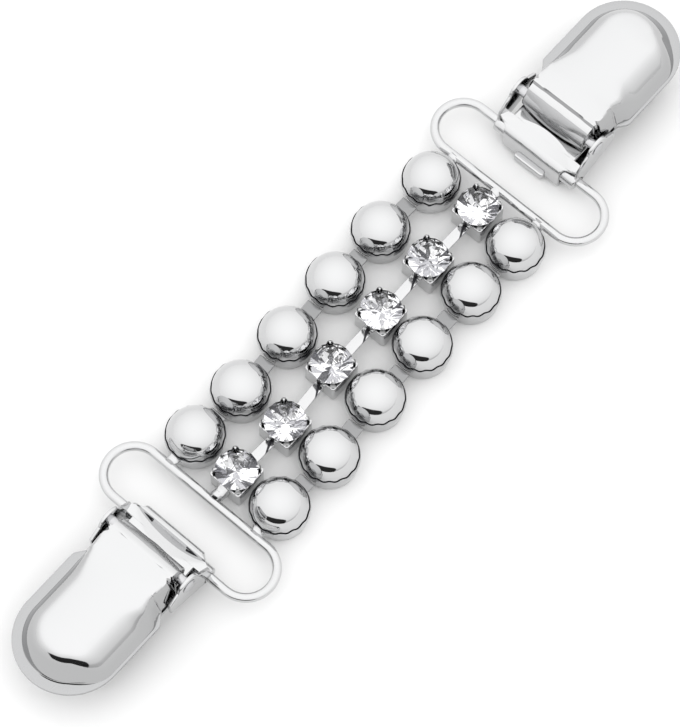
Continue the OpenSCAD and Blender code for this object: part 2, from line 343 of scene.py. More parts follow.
# Grey and near-black foils: painted reflections, given at random to facets under the girdle
grey_reflection_foil = metal("stone_painted_grey_reflection", (0.42, 0.42, 0.44), 0.03, 0.02, 0.001, 1.0)
dark_reflection_foil = metal("stone_painted_dark_reflection", (0.06, 0.06, 0.07), 0.05, 0.02, 0.001, 1.0)

# Sizes that the source of the frame uses, read back from its pieces where a box gives them

dome_low, dome_high = node_box("dome_n2")
DOME_R = (dome_high.x - dome_low.x) / 2
DOME_TOP = dome_high.z
DOME_MID = DOME_TOP - DOME_R
PLUG_LOW = dome_low.z
PLUG_EDGE = 0.2
CUP_R = (node_box("cup_n2")[1].y - node_box("cup_n2")[0].y) / 2
CUP_RIM = node_box("cup_n2")[1].z
CUP_BASE_R = CUP_R - 0.41
CUP_BELLY = 2.96
CRIMP_TOP = CUP_RIM - 0.7
CRIMP_LOW = CUP_BELLY + 0.1
CRIMP_WAVE = 0.35
CRIMP_WAVES = 15
CRIMP_ROWS = 6
# How far the crimp's inside and its outside are from the cap, at the foot of the crimp and at its rim
CRIMP_INSIDE = (0.03, 0.08)
CRIMP_OUTSIDE = (0.19, 0.13)
CUP_FOOT_Z = 0.22
CUP_T = 0.35
PLUG_R = CUP_BASE_R - CUP_T - 0.1
LINK_Z = 2
LINK_T = 0.4
LINK_GAP = 0.1
LINK_ROOT = 0.2
CUP_LINK_R = CUP_BASE_R + (CUP_R - CUP_BASE_R) * (LINK_Z + LINK_T) / CUP_BELLY
CUP_LINK_W = 2.5
SETTING_LINK_W = 1.5
SETTING_HALF = (node_box("setting_2")[1].y - node_box("setting_2")[0].y) / 2
SETTING_RIM = 3.55
SETTING_T = 0.3
SETTING_FLOOR = 0.3
SETTING_CORNER_R = 0.45
SLIT_HALF = 0.28
# The bent corner of a strip, a near-black plate of painted shade: how far each of its points is from the
# strip's end, and across
STRIP_BEND = ((-2.0, -0.75), (-1.5, -0.75), (0, -0.2), (0, 0.22), (-0.25, 0.2))
# Distance from the stone's middle, height and half width along a prong
PRONG = ((3.02, 2.6, 0.62), (3.12, 3.4, 0.58), (3.2, 4.0, 0.48), (3.2, 4.45, 0.38), (3.12, 4.8, 0.3),
         (2.96, 5.04, 0.23), (2.8, 5.13, 0.17), (2.68, 5.16, 0.11), (2.6, 5.17, 0.05))
PRONG_T = 0.1
CUP_SOLDER_R = 1.0
SETTING_SOLDER_R = 0.95

near = {i: middle(f"dome_n{i}") for i in ROW}
far = {i: middle(f"dome_f{i}") for i in ROW}
stones = {i: middle(f"stone_{i}") for i in ROW}


# Panel

def add_dome(shape, place):
    """A polished half ball with the plug that sits in its cup."""
    steps = 26
    profile = [(DOME_R * sin(pi / 2 * k / steps), DOME_MID + DOME_R * cos(pi / 2 * k / steps))
               for k in range(steps + 1)]
    profile += [(DOME_R - 0.05, DOME_MID - 0.04), (PLUG_R, DOME_MID - 0.06), (PLUG_R, PLUG_LOW + PLUG_EDGE),
                (PLUG_R - PLUG_EDGE, PLUG_LOW), (0, PLUG_LOW)]
    shape.lathe(profile, standing(place.x, place.y), 96)


def add_cup(shape, place, seed):
    """A flared cup with a crimped, wavy rim, its inside painted near-black as shade."""
    start = random.Random(seed).uniform(0, 360)
    steps = 120
    rows = []
    for k in range(steps):
        a = 2 * pi * k / steps
        wave = 0.5 + 0.5 * cos(CRIMP_WAVES * a + start)
        outer = [(0, 0), (CUP_BASE_R - 0.25, 0), (CUP_BASE_R - 0.06, 0.05), (CUP_BASE_R, CUP_FOOT_Z)]
        outer += [(CUP_BASE_R + (CUP_R - CUP_BASE_R) * t, CUP_FOOT_Z + (CUP_BELLY - CUP_FOOT_Z) * t)
                  for t in (0.3, 0.6, 0.9)]
        inner = []
        for row in range(CRIMP_ROWS + 1):
            t = row / CRIMP_ROWS
            height = CRIMP_LOW + (CRIMP_TOP - CRIMP_WAVE * (1 - wave) - CRIMP_LOW) * t
            ball = sqrt(DOME_R ** 2 - (height - DOME_MID) ** 2)
            outer.append((ball + mix(*CRIMP_OUTSIDE, t), height))
            inner.append((ball + mix(*CRIMP_INSIDE, t), height))
        inner = inner[::-1] + [(CUP_R - CUP_T, CUP_BELLY - 0.1), (CUP_BASE_R - CUP_T, CUP_T), (0, CUP_T)]
        rows.append([(place.x + r * cos(a), place.y + r * sin(a), z) for r, z in outer + inner])
    rim = len(outer)
    shape.grid([row[:rim] for row in rows], loop=True)
    # The inside gets the near-black painted shade
    shape.grid([row[rim - 1:] + row[:1] for row in rows], loop=True, look=1)


def strip_frame(start, end):
    """How far it is from start to end, and a place whose first axis runs from start to end."""
    step = Vector((end.x - start.x, end.y - start.y))
    along = step.normalized()

    def place(u, v, h):
        return (start.x + along.x * u - along.y * v, start.y + along.y * u + along.x * v, h)
    return step.length, place


def add_link(shape, start, end, reach, width, look=0):
    """The flat strip from one piece towards the next. Both pieces reach that far from their middle."""
    length, place = strip_frame(start, end)
    low = reach - LINK_ROOT
    high = length - reach - LINK_GAP
    outline = rounded([(low, -width / 2), (high, -width / 2), (high, width / 2), (low, width / 2)],
                      [0, 0.15, 0.15, 0])
    shape.plate(outline, LINK_Z, LINK_Z + LINK_T, place, 0.1, look=look)


def add_setting(shape, place):
    """A square box with a slit in its wall towards -X, and four prongs bent over the stone."""
    half, steps = SETTING_HALF, 5
    square = rounded([(half, -half), (half, half), (-half, half), (-half, -half)], SETTING_CORNER_R, steps)
    last = len(square) - steps - 1
    wall = [(-half, -SLIT_HALF)] + square[last:] + square[:last] + [(-half, SLIT_HALF)]
    foot, edge = 0.12, 0.08
    outside = [(foot, 0.0), (0.03, 0.04), (0, 0.15), (0, SETTING_RIM - 0.1), (0.04, SETTING_RIM - 0.02),
               (0.1, SETTING_RIM), (SETTING_T - edge, SETTING_RIM), (SETTING_T, SETTING_RIM - edge)]
    inside = [outside[-1], (SETTING_T, SETTING_FLOOR)]
    # The inside of the wall and the floor plate get the near-black painted shade
    for profile, look in ((outside, 0), (inside, 1)):
        rows = [[(place.x + u, place.y + v, z) for u, v in inset(wall, d)] for d, z in profile]
        shape.grid(rows, look=look)
    for end in (0, -1):
        cut = [(*inset(wall, d)[end], z) for d, z in outside + inside[1:]]
        shape.cap([(place.x + u, place.y + v, z) for u, v, z in cut])
    shape.plate(inset(square, foot), 0, SETTING_FLOOR, standing(place.x, place.y), 0.05, look=1)
    for turn in (45, 135, 225, 315):
        add_prong(shape, place, radians(turn))


def add_slit_edge(shape, start, end):
    """Painted shade: a near-black plate in the slit of the next setting's wall, and one on the bent corner
    of the strip that enters it.
    """
    length, place = strip_frame(start, end)
    wall = length - SETTING_HALF
    top, edge = LINK_Z + LINK_T, 0.01
    bend = [(wall - LINK_GAP + u, v) for u, v in STRIP_BEND]
    shape.plate(bend, top - 0.05, top + 0.04, place, edge, look=1)
    low, high, half = wall - 0.02, wall + 0.12, SLIT_HALF - 0.02
    slit = [(low, -half), (high, -half), (high, half), (low, half)]
    shape.plate(slit, top + 0.1, SETTING_RIM - 0.05, place, edge, look=1)


def add_prong(shape, place, turn):
    """A flat prong that rises at a corner and bends over the girdle."""
    rows = []
    for k, (r, z, wide) in enumerate(PRONG):
        ahead, behind = PRONG[min(k + 1, len(PRONG) - 1)], PRONG[max(k - 1, 0)]
        dr, dz = ahead[0] - behind[0], ahead[1] - behind[1]
        length = hypot(dr, dz)
        out = (dz / length, -dr / length)
        row = []
        for s in range(16):
            a = 2 * pi * s / 16
            across = wide * cos(a)
            lift = min(PRONG_T, wide) * sin(a)
            rr, zz = r + out[0] * lift, z + out[1] * lift
            row.append((place.x + rr * cos(turn) - across * sin(turn),
                        place.y + rr * sin(turn) + across * cos(turn), zz))
        rows.append(row)
    shape.grid(rows, wrap=True)
    shape.cap(rows[0])
    shape.cap(rows[-1])


CROWN_H = 1.02
GIRDLE_HALF_H = 0.08
# Radii of the table, the star points and the lower tips as shares: of the girdle's radius, of the way
# from table to girdle, and of the girdle's radius again
TABLE_SHARE, STAR_SHARE, TIP_SHARE = 0.55, 0.48, 0.3
# Shares of facets with the near-black and with the grey foil, which are painted reflections, among the large
# and the small ones under the girdle
LARGE_FACETS = (0.07, 0.28)
SMALL_FACETS = (0.14, 0.28)


def add_stone(shape, place, node, dice):
    """A round stone with 57 facets. The facets under the girdle are foiled; at random some get grey or
    near-black foil as painted reflections.
    """
    low, high = node_box(node)
    girdle_r = (high.x - low.x) / 2
    table_r = TABLE_SHARE * girdle_r
    top, girdle_z, half_h, bottom = high.z, high.z - CROWN_H, GIRDLE_HALF_H, low.z
    step = pi / 8

    def at(r, k, z):
        return (place.x + r * cos(k * step), place.y + r * sin(k * step), z)

    star_r = table_r + STAR_SHARE * (girdle_r - table_r)
    lean = (girdle_z + half_h - top) / (girdle_r - table_r)
    star_z = top + (star_r * cos(step) - table_r) * lean
    tip_r = TIP_SHARE * girdle_r
    rise = (girdle_z - half_h - bottom) / girdle_r
    tip_z = bottom + tip_r * cos(step) * rise
    shape.cap([at(table_r, 2 * k, top) for k in range(8)])
    for k in range(0, 16, 2):
        table_a, table_b = at(table_r, k, top), at(table_r, k + 2, top)
        star, star_before = at(star_r, k + 1, star_z), at(star_r, k - 1, star_z)
        rim = [at(girdle_r, j, girdle_z + half_h) for j in (k, k + 1, k + 2)]
        low_rim = [at(girdle_r, j, girdle_z - half_h) for j in (k, k + 1, k + 2)]
        shape.add([table_a, table_b, star], [(0, 1, 2)])
        shape.add([table_a, star_before, rim[0], star], [(0, 1, 2, 3)])
        shape.add([star, rim[0], rim[1], rim[2]], [(0, 1, 2), (0, 2, 3)])
        shape.add(rim + low_rim, [(0, 1, 4, 3), (1, 2, 5, 4)])
        tip, tip_before = at(tip_r, k + 1, tip_z), at(tip_r, k - 1, tip_z)
        facets = [([at(0, 0, bottom), tip_before, low_rim[0], tip], LARGE_FACETS),
                  ([tip, low_rim[0], low_rim[1]], SMALL_FACETS),
                  ([tip, low_rim[1], low_rim[2]], SMALL_FACETS)]
        for points, (dark, grey) in facets:
            draw = dice.random()
            look = 3 if draw < dark else 2 if draw < dark + grey else 1
            shape.add(points, [tuple(range(len(points)))], look)


for row, letter in ((near, "n"), (far, "f")):
    for i in ROW:
        node = f"dome_{letter}{i}"
        shape = Shape()
        add_dome(shape, row[i])
        piece("polished_" + node, shape, [polish], "panel", [node])
    for i in MIDDLE:
        node = f"cup_{letter}{i}"
        shape = Shape()
        add_cup(shape, row[i], i)
        add_link(shape, row[i], row[i + 1], CUP_LINK_R, CUP_LINK_W, look=2)
        piece("crimped_" + node, shape, [cup_metal, painted_shade_metal, link_shade_metal], "panel", [node])

for i in ROW:
    shape = Shape()
    add_stone(shape, stones[i], f"stone_{i}", random.Random(20 + i))
    piece(f"cut_stone_{i}", shape, [glass, foil, grey_reflection_foil, dark_reflection_foil], "panel",
          [f"stone_{i}"], sharp=1)
for i in MIDDLE:
    shape = Shape()
    add_setting(shape, stones[i])
    add_link(shape, stones[i], stones[i + 1], SETTING_HALF, SETTING_LINK_W)
    add_slit_edge(shape, stones[i], stones[i + 1])
    piece(f"square_setting_{i}", shape, [setting_metal, painted_shade_metal], "panel",
          [f"setting_{i}"])

# Wire loops, with the end pieces that are soldered to them

WIRE_R = 0.65
LOOP_HALF = node_box("loop_b")[1].y
CLIP_BAR = node_box("loop_b")[1].x - WIRE_R
PANEL_BAR = CLIP_BAR - 8.1
WIRE_Z = 2.52
SOLDER_Z = 2.2
# Shares of a drop's radius: at its waist, what the ends add to that, and its two end faces
SOLDER_WAIST, SOLDER_FLARE, SOLDER_END = 0.95, 0.35, 0.6
SOLDER_FLATTER = 0.95


def add_wire(shape, end):
    """The closed wire, bent round at both ends."""
    turn_r = (CLIP_BAR - PANEL_BAR) / 2
    mid = (CLIP_BAR + PANEL_BAR) / 2
    straight = LOOP_HALF - WIRE_R - turn_r
    bar = [-straight + 2 * straight * k / 24 for k in range(24)]
    bend = [(turn_r * cos(pi * k / 28), turn_r * sin(pi * k / 28)) for k in range(28)]
    path = [(CLIP_BAR, y) for y in bar] + [(mid + u, straight + v) for u, v in bend]
    path += [(PANEL_BAR, -y) for y in bar] + [(mid - u, -straight - v) for u, v in bend]
    rows = []
    n = len(path)
    for k in range(n):
        x, y = path[k]
        dx, dy = path[(k + 1) % n][0] - path[k - 1][0], path[(k + 1) % n][1] - path[k - 1][1]
        length = hypot(dx, dy)
        out = (dy / length, -dx / length)
        row = []
        for s in range(24):
            a = 2 * pi * s / 24
            row.append((end * (x + out[0] * WIRE_R * cos(a)), end * (y + out[1] * WIRE_R * cos(a)),
                        WIRE_Z + WIRE_R * sin(a)))
        rows.append(row)
    shape.grid(rows, wrap=True, loop=True)


def add_solder(shape, end, place, reach, radius):
    """The drop of solder between an end piece and the bar, hollowed between the two."""
    start = abs(place.x) + reach - LINK_ROOT
    length = PANEL_BAR - start
    rows = []
    for k in range(13):
        t = k / 12
        r = radius * (SOLDER_WAIST + SOLDER_FLARE * (2 * t - 1) ** 2)
        if k in (0, 12):
            r *= SOLDER_END
        row = []
        for s in range(20):
            a = 2 * pi * s / 20
            across, up = r * cos(a), SOLDER_FLATTER * r * sin(a)
            x = end * (start + length * t)
            bulge = 1 + wobble((x, place.y + across, SOLDER_Z + up), 0.8, 0.16, place.y)
            row.append((x, place.y + bulge * across, SOLDER_Z + bulge * up))
        rows.append(row)
    shape.grid(rows, wrap=True)
    shape.cap(rows[0])
    shape.cap(rows[-1])


for end, letter, i in ((-1, "a", 1), (1, "b", 6)):
    shape = Shape()
    add_wire(shape, end)
    for row in (near, far):
        add_cup(shape, row[i], i)
        add_solder(shape, end, row[i], CUP_LINK_R, CUP_SOLDER_R)
        if end < 0:
            add_link(shape, row[1], row[2], CUP_LINK_R, CUP_LINK_W, look=2)
    add_setting(shape, stones[i])
    add_solder(shape, end, stones[i], SETTING_HALF, SETTING_SOLDER_R)
    if end < 0:
        add_link(shape, stones[1], stones[2], SETTING_HALF, SETTING_LINK_W)
        add_slit_edge(shape, stones[1], stones[2])
    piece(f"wire_loop_{letter}", shape, [wire_metal, painted_shade_metal, link_shade_metal], "panel",
          [f"loop_{letter}"])

# Clip bodies

pin_box = node_box("pin_b")
PIN_X = (pin_box[0].x + pin_box[1].x) / 2
PIN_Z = (pin_box[0].z + pin_box[1].z) / 2
PIN_R = 0.75
PIN_HEAD_R = 1.1
PIN_END = pin_box[1].y
EAR_OUT = 7.2
EAR_T = 0.5
BODY_T = 0.5
TAB_REACH = 0.55
TAB_HALF = 2.6
TAIL_X = node_box("base_b")[0].x + TAB_REACH
FOLD_R = 1.2
TONGUE_Z = 5.4
TONGUE_END = 43.6
TONGUE_HALF = 5.4
NOTCH_X = 39.0
NOTCH_STEP = 0.03
EAR_FOOT_L = 1.0
JAW_X = node_box("base_b")[1].x
JAW_HALF = 5.4
BARREL_R = 1.3
WIRE_BORE_R = 0.71
SLOT_X = 37.3
# Lowest and highest Y of the two slots
SLOTS = ((2.7, 5.2), (-4.9, -3.1))
SLOT_LOW_Z = TONGUE_Z - 0.75
SLOT_TOP_Z = TONGUE_Z - 0.42
SCOOP_L = 2.8
SCOOP_CURVE = 1.9
SCOOP_SLOPE = 0.4
TAIL_HALF = 4.95
# The tail's rounded corner, the length over which the sheet widens behind it, and half the width of the
# sheet where the ears stand on it
TAIL_ROUND = 0.35
TAIL_FLARE = 1.6
EAR_HALF = EAR_OUT - EAR_T / 2
# The ear's corners in X and Z: those before its boss round the pin, and the one after it
EAR_CORNERS = ((37.4, 2.52), (39.0, 1.92), (45.1, 4.1), (45.4, 4.3), (45.4, 6.5), (45.2, 6.7))
EAR_FRONT = (37.8, 5.4)
EAR_BOSS_R = 1.9
LIP_TOP = 5.97


def fold_path():
    """The bent sheet's outside line in X and Z: tongue, tail and lower side, with its normal."""
    centre_x = TAIL_X + FOLD_R
    tongue = [TONGUE_END - (TONGUE_END - centre_x) * k / 60 for k in range(61)]
    before, behind = [x for x in tongue if x > NOTCH_X], [x for x in tongue if x < NOTCH_X]
    path = [(x, TONGUE_Z, 0, 1) for x in before + [NOTCH_X + NOTCH_STEP, NOTCH_X] + behind]
    for k in range(1, 13):
        a = pi / 2 + pi / 2 * k / 12
        path.append((centre_x + FOLD_R * cos(a), TONGUE_Z - FOLD_R + FOLD_R * sin(a), cos(a), sin(a)))
    for k in range(1, 9):
        path.append((TAIL_X, TONGUE_Z - FOLD_R - (TONGUE_Z - 2 * FOLD_R) * k / 8, -1, 0))
    for k in range(1, 13):
        a = pi + pi / 2 * k / 12
        path.append((centre_x + FOLD_R * cos(a), FOLD_R + FOLD_R * sin(a), cos(a), sin(a)))
    path.append((TAIL_X + 4, 0, 0, -1))
    return path


def leaf_half_width(x, z):
    """Half the width of the folded sheet: wide at the ears, narrow at the tail and the tongue."""
    if z < TONGUE_Z - FOLD_R:
        return TAIL_HALF
    if x > NOTCH_X + NOTCH_STEP / 2:
        return TONGUE_HALF
    if x > NOTCH_X - EAR_FOOT_L:
        return EAR_HALF
    t = min(1.0, max(0.0, (x - TAIL_X) / TAIL_FLARE))
    wide = TAIL_HALF + TAIL_ROUND
    return TAIL_HALF + TAIL_ROUND * sqrt(t) + (EAR_HALF - wide) * max(0.0, t - 0.4) / 0.6


def tongue_dip(x, y):
    """How far the tongue is pressed down: a scoop before the tail."""
    arc = SLOT_X + SCOOP_L - SCOOP_CURVE * (y / TONGUE_HALF) ** 2
    return SCOOP_SLOPE * max(0.0, arc - x) if SLOT_X < x < arc else 0.0


def add_fold(shape):
    """The sheet of the clip body, bent round the tail."""
    rows = []
    edge = 0.1
    columns = 40
    for x, z, nx, nz in fold_path():
        level = leaf_half_width(x, z) - edge
        row = []
        for depth, side in ((0.0, 1), (BODY_T, -1)):
            for c in range(columns + 1):
                y = side * (-level + 2 * level * c / columns)
                dip = tongue_dip(x, y) if nz == 1 else 0.0
                row.append((x - nx * depth, y, z - nz * depth - dip))
            for k, a in enumerate((30, 60, 90, 60, 30)):
                curl = edge * (1 - cos(radians(a)))
                lift = curl if (k < 3) == (side > 0) else BODY_T - curl
                row.append((x - nx * lift, side * (level + edge * sin(radians(a))), z - nz * lift))
        rows.append(row)
    shape.grid(rows, wrap=True)
    shape.cap(rows[0])
    shape.cap(rows[-1])


def add_ear(shape, side):
    """The upright ear that holds the pin, on one side of the clip body."""
    boss = [(PIN_X + EAR_BOSS_R * cos(radians(a)), PIN_Z + EAR_BOSS_R * sin(radians(a)))
            for a in range(10, 181, 10)]
    outline = [*EAR_CORNERS, *boss, EAR_FRONT]
    low, high = (EAR_OUT - EAR_T, EAR_OUT) if side > 0 else (-EAR_OUT, -EAR_OUT + EAR_T)
    shape.plate(outline, low, high, side_view, 0.12)


def add_barrel(shape):
    """The sheet rolled round the bar of the loop, with rounded ends."""
    half, edge = EAR_OUT, 0.3
    profile = [(WIRE_BORE_R, -half + 0.1), (WIRE_BORE_R + 0.1, -half), (BARREL_R - edge, -half)]
    profile += [(BARREL_R - edge + edge * sin(radians(a)), -half + edge - edge * cos(radians(a)))
                for a in (30, 60, 90)]
    profile += [(r, -h) for r, h in reversed(profile)]
    shape.lathe(profile, along_y(CLIP_BAR, WIRE_Z), 48)


def add_jaw(shape):
    """The lower jaw, with its lip turned up round the front."""
    mid = JAW_X - JAW_HALF
    outline = [(TAIL_X + FOLD_R, -JAW_HALF), (mid, -JAW_HALF)]
    outline += [(mid + JAW_HALF * cos(radians(a)), JAW_HALF * sin(radians(a))) for a in range(-84, 85, 6)]
    outline += [(mid, JAW_HALF), (TAIL_X + FOLD_R, JAW_HALF)]
    shape.plate(outline, 0, BODY_T, flat, 0.1)
    out = JAW_HALF - 0.1
    edge = LIP_TOP - 0.12
    lip = [(out - BODY_T, 0.25), (out, 0.25), (out, edge), (out - 0.1, LIP_TOP),
           (out - BODY_T + 0.1, LIP_TOP), (out - BODY_T, edge)]
    shape.lathe(lip, standing(mid, 0), 48, (-75, 75))


def add_tab(shape):
    """The small rounded tab at the foot of the tail."""
    outer, inner, half = TAIL_X - TAB_REACH, TAIL_X + FOLD_R, TAB_HALF
    outline = rounded([(outer, -half), (inner, -half), (inner, half), (outer, half)], [0.5, 0, 0, 0.5])
    shape.plate(outline, 0.1, 1.5, flat, 0.3)


def add_slots(shape):
    """The two narrow slots in the step between the scoop and the tail: near-black plates, painted shade of
    the inside of the fold.
    """
    for low, high in SLOTS:
        outline = [(SLOT_X - 0.15, low), (SLOT_X + 0.2, low), (SLOT_X + 0.2, high), (SLOT_X - 0.15, high)]
        shape.plate(outline, SLOT_LOW_Z, SLOT_TOP_Z, flat, 0.02, look=1)


def add_pin(shape):
    """The hinge pin with a rounded head at each end."""
    under_head = -PIN_END + 0.28
    half = [(0, -PIN_END), (0.6, -PIN_END + 0.01), (0.9, -PIN_END + 0.06), (PIN_HEAD_R, -PIN_END + 0.2),
            (PIN_HEAD_R, under_head), (PIN_R, under_head)]
    shape.lathe(half + [(r, -h) for r, h in reversed(half)], along_y(PIN_X, PIN_Z), 40)


for end, letter in ((-1, "a"), (1, "b")):
    shape = Shape()
    add_fold(shape)
    for side in (-1, 1):
        add_ear(shape, side)
    add_barrel(shape)
    add_jaw(shape)
    add_tab(shape)
    add_slots(shape)
    piece(f"clip_body_{letter}", shape, [body_metal, painted_shade_metal], f"clip_{letter}",
          [f"base_{letter}"], end)

    shape = Shape()
    add_pin(shape)
    piece(f"hinge_pin_{letter}", shape, [pin_metal], f"clip_{letter}",
          [f"pin_{letter}"], end)

# Lever covers

lever_box = node_box("lever_b")
NOSE_X = lever_box[1].x
COVER_HALF = lever_box[1].y
COVER_TOP = lever_box[1].z
BRIM_Z = lever_box[0].z
NOSE_MID = NOSE_X - COVER_HALF
COVER_EDGE = 42.6
NECK_HALF = 5.65
BRIM_START = 46.4
BRIM_SLOPE = 1.6
NECK_LOW = 6.1
NECK_FLARE = 0.9
FLARE_HALF = 6.45
COVER_T = 0.6
BRIM_W = 1.4
BENT_BRIM_W = 0.35
BRIM_TOP = BRIM_Z + COVER_T
KNUCKLE_R = 1.85
KNUCKLE_HALF = 5.3
PIN_BORE_R = 0.81
# The knuckle's front from top to bottom: X and Z from the pin, and how much fuller it is in the middle
KNUCKLE_FRONT = ((1.3, 2.2, 0), (0.9, 2.34, 0), (0.5, 2.24, 0), (-0.05, 1.98, 0), (-0.3, 1.74, 0.1),
                 (-0.6, 1.2, 0.3), (-0.9, 0.5, 0.5), (-1.0, -0.3, 0.6), (-1.0, -1.1, 0.65),
                 (-0.85, -1.5, 0.6))
KNUCKLE_BACK = ((-0.75, -1.35), (-0.86, -0.9), (-0.87, -0.2), (-0.84, 0.4), (-0.55, 1.0), (0.2, 1.5),
                (1.3, 1.6))
# How many points of the front face the light; the rest of the knuckle, the roll round the pin too, is in the
# darker painted-shade metal
KNUCKLE_LIGHT = 4


def cover_half_width(x):
    """Half the width of the whole cover, brim and all."""
    if x < BRIM_START:
        return mix(NECK_HALF, FLARE_HALF, min(1.0, (x - COVER_EDGE) / NECK_FLARE))
    return mix(FLARE_HALF, COVER_HALF, min(1.0, (x - BRIM_START) / BRIM_SLOPE))


EDGE_ROWS = 8
# How steep the cover's wall is, over how much height it turns into the roof, and how far the roof falls
NECK_FORM = (4.0, 1.2, 0.1)
OPEN_SIDE_FORM = (2.4, 3.4, 1.0)
BENT_SIDE_FORM = (1.8, 3.8, 1.0)
NOSE_FORM = (1.6, 1.0, 1.5)
# Degrees round the nose, from the middle line towards the bent side
NOSE_TURN, NOSE_END, NOSE_FADE = 20, 85, 70
BENT_TURN, BENT_FADE = 38, 52
SHOULDER_L, BENT_SHOULDER_L = 4.5, 2.6
OUTLINE_STEP = 0.4
MIDDLE_START = COVER_EDGE + 4
COVER_WAVE, COVER_WAVE_L = 0.02, 6.0
# Distances from the crown's foot to the middle line, as shares
CROWN_STEPS = (0.01, 0.025, 0.05, 0.08, 0.115, 0.155, 0.2, 0.25, 0.3, 0.35, 0.4, 0.45, 0.5, 0.55, 0.61, 0.68,
               0.76, 0.85, 0.94)


def cover_profile(x, y, length, near_side):
    """Rows of (distance in, height) from the lower edge to the middle line. near_side is -1 or 1:
    the side of the cover where its brim is bent down against the crown."""
    # The angle round the nose, and how far the place belongs to the nose, the bent side and the body
    turn = degrees(atan2(near_side * y, max(0.0, x - NOSE_MID)))
    nose = smooth_step((NOSE_END - abs(turn - NOSE_TURN)) / NOSE_FADE)
    bent = smooth_step((turn - BENT_TURN) / BENT_FADE)
    body = smooth_step((x - BRIM_START + 2.0) / 7)
    brim = mix(BRIM_W, BENT_BRIM_W, bent)
    shoulder_l = mix(SHOULDER_L, BENT_SHOULDER_L, bent)
    crown_half = mix(FLARE_HALF, COVER_HALF - brim, smooth_step((x - BRIM_START) / shoulder_l))
    foot = max(0.0, cover_half_width(x) - crown_half) if x > BRIM_START else 0.0
    forms = zip(NECK_FORM, OPEN_SIDE_FORM, BENT_SIDE_FORM, NOSE_FORM)
    slope, reach, drop = (mix(at_neck, mix(mix(at_open, at_bent, bent), at_nose, nose), body)
                          for at_neck, at_open, at_bent, at_nose in forms)
    if x > BRIM_START:
        low, top = BRIM_Z, BRIM_TOP
    else:
        low, top = NECK_LOW, NECK_LOW + 0.3
    edge = min(0.12, (top - low) / 2.5)
    rows = [(edge, low), (edge * 0.3, low + edge * 0.3), (0, low + edge), (0, top - edge),
            (edge * 0.3, top - edge * 0.3), (max(foot * 0.1, edge), top), (foot * 0.5, top),
            (foot * 0.96, top)]
    if foot < 0.3:
        rows[5:] = [(edge * 0.2, top), (edge * 0.1, top + 0.05), (0.0, top + 0.1)]
        foot = 0.0
    hinge = smooth_step(1 - (x - COVER_EDGE) / 0.5)
    wall_low = rows[-1][1]
    for step in CROWN_STEPS:
        t = step * (length - foot)
        wall = wall_low + t * mix(slope, 14.0, hinge)
        roof = COVER_TOP - drop * (1 - step) ** 2
        rows.append((foot + t, soft_min(wall, roof, mix(reach, 0.5, hinge))))
    rows.append((length, COVER_TOP))
    return rows


def add_cover(shape, near_side):
    """A crown with a flat brim, open below, and a narrow flat neck at the hinge."""
    # One side's corners from the hinge to the nose, each with its radius
    side = [(COVER_EDGE, NECK_HALF, 0.3), (COVER_EDGE + NECK_FLARE, FLARE_HALF, 0.6),
            (BRIM_START, FLARE_HALF, 0.8), (BRIM_START + BRIM_SLOPE, COVER_HALF, 1.0),
            (NOSE_MID, COVER_HALF, 0)]
    nose = [(NOSE_MID + COVER_HALF * cos(radians(a)), COVER_HALF * sin(radians(a)), 0)
            for a in range(-88, 89, 2)]
    corners = [(x, -y, r) for x, y, r in side] + nose + side[::-1]
    outline = finer(rounded([(x, y) for x, y, r in corners], [r for x, y, r in corners], 5), OUTLINE_STEP)
    columns = []
    for x, y in outline:
        target = min(max(x, MIDDLE_START), NOSE_MID)
        dx, dy = target - x, -y
        length = hypot(dx, dy)
        outer = cover_profile(x, y, length, near_side)
        inner = []
        for k in range(EDGE_ROWS, len(outer)):
            s0, z0 = outer[k - 1]
            s1, z1 = outer[min(k + 1, len(outer) - 1)]
            ds, dz = s1 - s0, z1 - z0
            size = hypot(ds, dz) or 1.0
            inner.append((min(length, outer[k][0] + COVER_T * dz / size),
                          max(outer[k][1] - COVER_T * ds / size, outer[0][1] + 0.02 * (k - EDGE_ROWS))))
        foot = (inner[0][0], outer[0][1])
        column = []
        for k, (s, z) in enumerate([foot] + outer + inner[::-1]):
            point = (x + dx * s / length, y + dy * s / length, z)
            deep = COVER_WAVE * smooth_step((z - BRIM_TOP - 0.5) / 2)
            column.append((point[0], point[1], z + wobble(point, COVER_WAVE_L, deep, 3.1) - deep))
        columns.append(column)
    middle_row = 1 + EDGE_ROWS + len(CROWN_STEPS) + 1
    # The brim gets the darker metal: painted shade
    shape.grid([column[:EDGE_ROWS + 1] for column in columns], loop=True, look=1)
    shape.grid([column[EDGE_ROWS:middle_row] for column in columns], loop=True)
    shape.grid([column[middle_row:] + column[:1] for column in columns], loop=True)


def add_knuckle(shape):
    """The sheet rolled round the pin, and its fuller front between the cover's edge and the tongue."""
    half, edge, roll_r = KNUCKLE_HALF, 0.15, KNUCKLE_R - 0.45
    profile = [(PIN_BORE_R, -half), (roll_r - edge, -half), (roll_r, -half + edge)]
    profile += [(r, -h) for r, h in reversed(profile)]
    shape.lathe(profile, along_y(PIN_X, PIN_Z), 64, look=1)
    rows = []
    for k in range(25):
        y = half * (k / 12 - 1)
        full = 1 - (y / half) ** 2
        front = [(PIN_X + x - fuller * full, y, PIN_Z + z) for x, z, fuller in KNUCKLE_FRONT]
        row = [(point[0] + wobble(point, 1.6, 0.06, 1.7), y, point[2]) for point in front]
        rows.append(row + [(PIN_X + x, y, PIN_Z + z) for x, z in KNUCKLE_BACK])
    # The front that faces the light gets the cover metal; the rest gets the darker metal as painted shade
    shape.grid([row[:KNUCKLE_LIGHT] for row in rows])
    shape.grid([row[KNUCKLE_LIGHT - 1:] + row[:1] for row in rows], look=1)
    shape.cap(rows[0], 1)
    shape.cap(rows[-1], 1)


